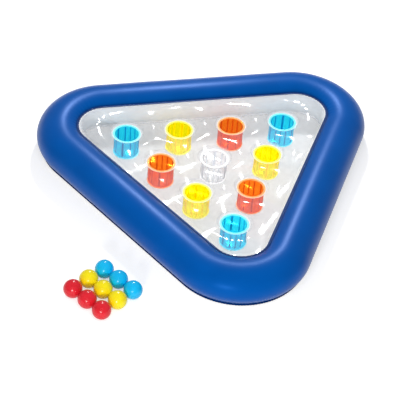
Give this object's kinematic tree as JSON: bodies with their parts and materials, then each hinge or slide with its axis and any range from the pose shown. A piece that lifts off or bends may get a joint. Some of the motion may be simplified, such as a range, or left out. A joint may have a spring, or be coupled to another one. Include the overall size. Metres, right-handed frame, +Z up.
{
  "type": "inflatable pool pong game",
  "caption": "Inflatable pool pong game: a triangular blue air ring round a clear air floor with coloured cup pockets, air valves and loose play balls.",
  "frame": {"origin": "on the ground, in the middle of the box that holds the ring and the balls beside it", "axes": "+X runs along the back row of cups to the right, +Y points to the straight back side, +Z points up"},
  "size_m": [1.2304, 1.1347, 0.1413],
  "materials": {
    "ring_blue": "glossy soft vinyl",
    "ring_underside": "pale grey soft vinyl",
    "clear_film": "glossy clear vinyl film",
    "valve_clear": "milky soft vinyl",
    "cup_blue": "glossy tinted clear vinyl",
    "cup_yellow": "glossy tinted clear vinyl",
    "cup_orange": "glossy tinted clear vinyl",
    "cup_clear": "glossy clear vinyl",
    "ball_red": "smooth blow-moulded plastic",
    "ball_yellow": "smooth blow-moulded plastic",
    "ball_blue": "smooth blow-moulded plastic"
  },
  "bodies": {
    "float": {"ring_upper_sheet": "ring_blue", "ring_lower_sheet": "ring_underside", "floor_top_film": "clear_film", "floor_bottom_film": "clear_film", "cup_wall_01": "cup_blue", "cup_wall_02": "cup_yellow", "cup_wall_03": "cup_orange", "cup_wall_04": "cup_blue", "cup_wall_05": "cup_orange", "cup_wall_06": "cup_clear", "cup_wall_07": "cup_yellow", "cup_wall_08": "cup_yellow", "cup_wall_09": "cup_orange", "cup_wall_10": "cup_blue", "cup_base_01": "cup_blue", "cup_base_02": "cup_yellow", "cup_base_03": "cup_orange", "cup_base_04": "cup_blue", "cup_base_05": "cup_orange", "cup_base_06": "cup_clear", "cup_base_07": "cup_yellow", "cup_base_08": "cup_yellow", "cup_base_09": "cup_orange", "cup_base_10": "cup_blue", "ring_valve_seat": "valve_clear", "floor_valve_seat": "valve_clear"},
    "ring_stem": {"ring_valve_stem": "valve_clear"},
    "ring_plug": {"ring_valve_plug": "valve_clear"},
    "ring_flap": {"ring_valve_flap": "valve_clear"},
    "floor_stem": {"floor_valve_stem": "valve_clear"},
    "floor_plug": {"floor_valve_plug": "valve_clear"},
    "floor_flap": {"floor_valve_flap": "valve_clear"},
    "red_ball_1": {"ball_red_1": "ball_red"},
    "red_ball_2": {"ball_red_2": "ball_red"},
    "red_ball_3": {"ball_red_3": "ball_red"},
    "yellow_ball_1": {"ball_yellow_1": "ball_yellow"},
    "yellow_ball_2": {"ball_yellow_2": "ball_yellow"},
    "yellow_ball_3": {"ball_yellow_3": "ball_yellow"},
    "blue_ball_1": {"ball_blue_1": "ball_blue"},
    "blue_ball_2": {"ball_blue_2": "ball_blue"},
    "blue_ball_3": {"ball_blue_3": "ball_blue"}
  },
  "joints": [
    {"name": "ring_stem_pull", "type": "slide", "parent": "float", "child": "ring_stem", "axis": [0, 0.9055, 0.4244], "range_m": [0, 0.01]},
    {"name": "ring_plug_strap", "type": "hinge", "parent": "ring_stem", "child": "ring_plug", "pos_m": [0.12, 0.55903, 0.10666], "axis": [1, 0, 0], "range_deg": [0, 110]},
    {"name": "ring_flap_bend", "type": "hinge", "parent": "ring_stem", "child": "ring_flap", "pos_m": [0.12, 0.54703, 0.09551], "axis": [-1, 0, 0], "range_deg": [0, 25]},
    {"name": "floor_stem_pull", "type": "slide", "parent": "float", "child": "floor_stem", "axis": [0, 0, -1], "range_m": [0, 0.01]},
    {"name": "floor_plug_strap", "type": "hinge", "parent": "floor_stem", "child": "floor_plug", "pos_m": [0, -0.331, 0.0157], "axis": [1, 0, 0], "range_deg": [0, 110]},
    {"name": "floor_flap_bend", "type": "hinge", "parent": "floor_stem", "child": "floor_flap", "pos_m": [0, -0.336, 0.0313], "axis": [-1, 0, 0], "range_deg": [0, 25]},
    {"name": "red_ball_1_lift", "type": "slide", "parent": "float", "child": "red_ball_1", "axis": [0, 0, 1], "range_m": [0, 0.25]},
    {"name": "red_ball_2_lift", "type": "slide", "parent": "float", "child": "red_ball_2", "axis": [0, 0, 1], "range_m": [0, 0.25]},
    {"name": "red_ball_3_lift", "type": "slide", "parent": "float", "child": "red_ball_3", "axis": [0, 0, 1], "range_m": [0, 0.25]},
    {"name": "yellow_ball_1_lift", "type": "slide", "parent": "float", "child": "yellow_ball_1", "axis": [0, 0, 1], "range_m": [0, 0.25]},
    {"name": "yellow_ball_2_lift", "type": "slide", "parent": "float", "child": "yellow_ball_2", "axis": [0, 0, 1], "range_m": [0, 0.25]},
    {"name": "yellow_ball_3_lift", "type": "slide", "parent": "float", "child": "yellow_ball_3", "axis": [0, 0, 1], "range_m": [0, 0.25]},
    {"name": "blue_ball_1_lift", "type": "slide", "parent": "float", "child": "blue_ball_1", "axis": [0, 0, 1], "range_m": [0, 0.25]},
    {"name": "blue_ball_2_lift", "type": "slide", "parent": "float", "child": "blue_ball_2", "axis": [0, 0, 1], "range_m": [0, 0.25]},
    {"name": "blue_ball_3_lift", "type": "slide", "parent": "float", "child": "blue_ball_3", "axis": [0, 0, 1], "range_m": [0, 0.25]}
  ]
}
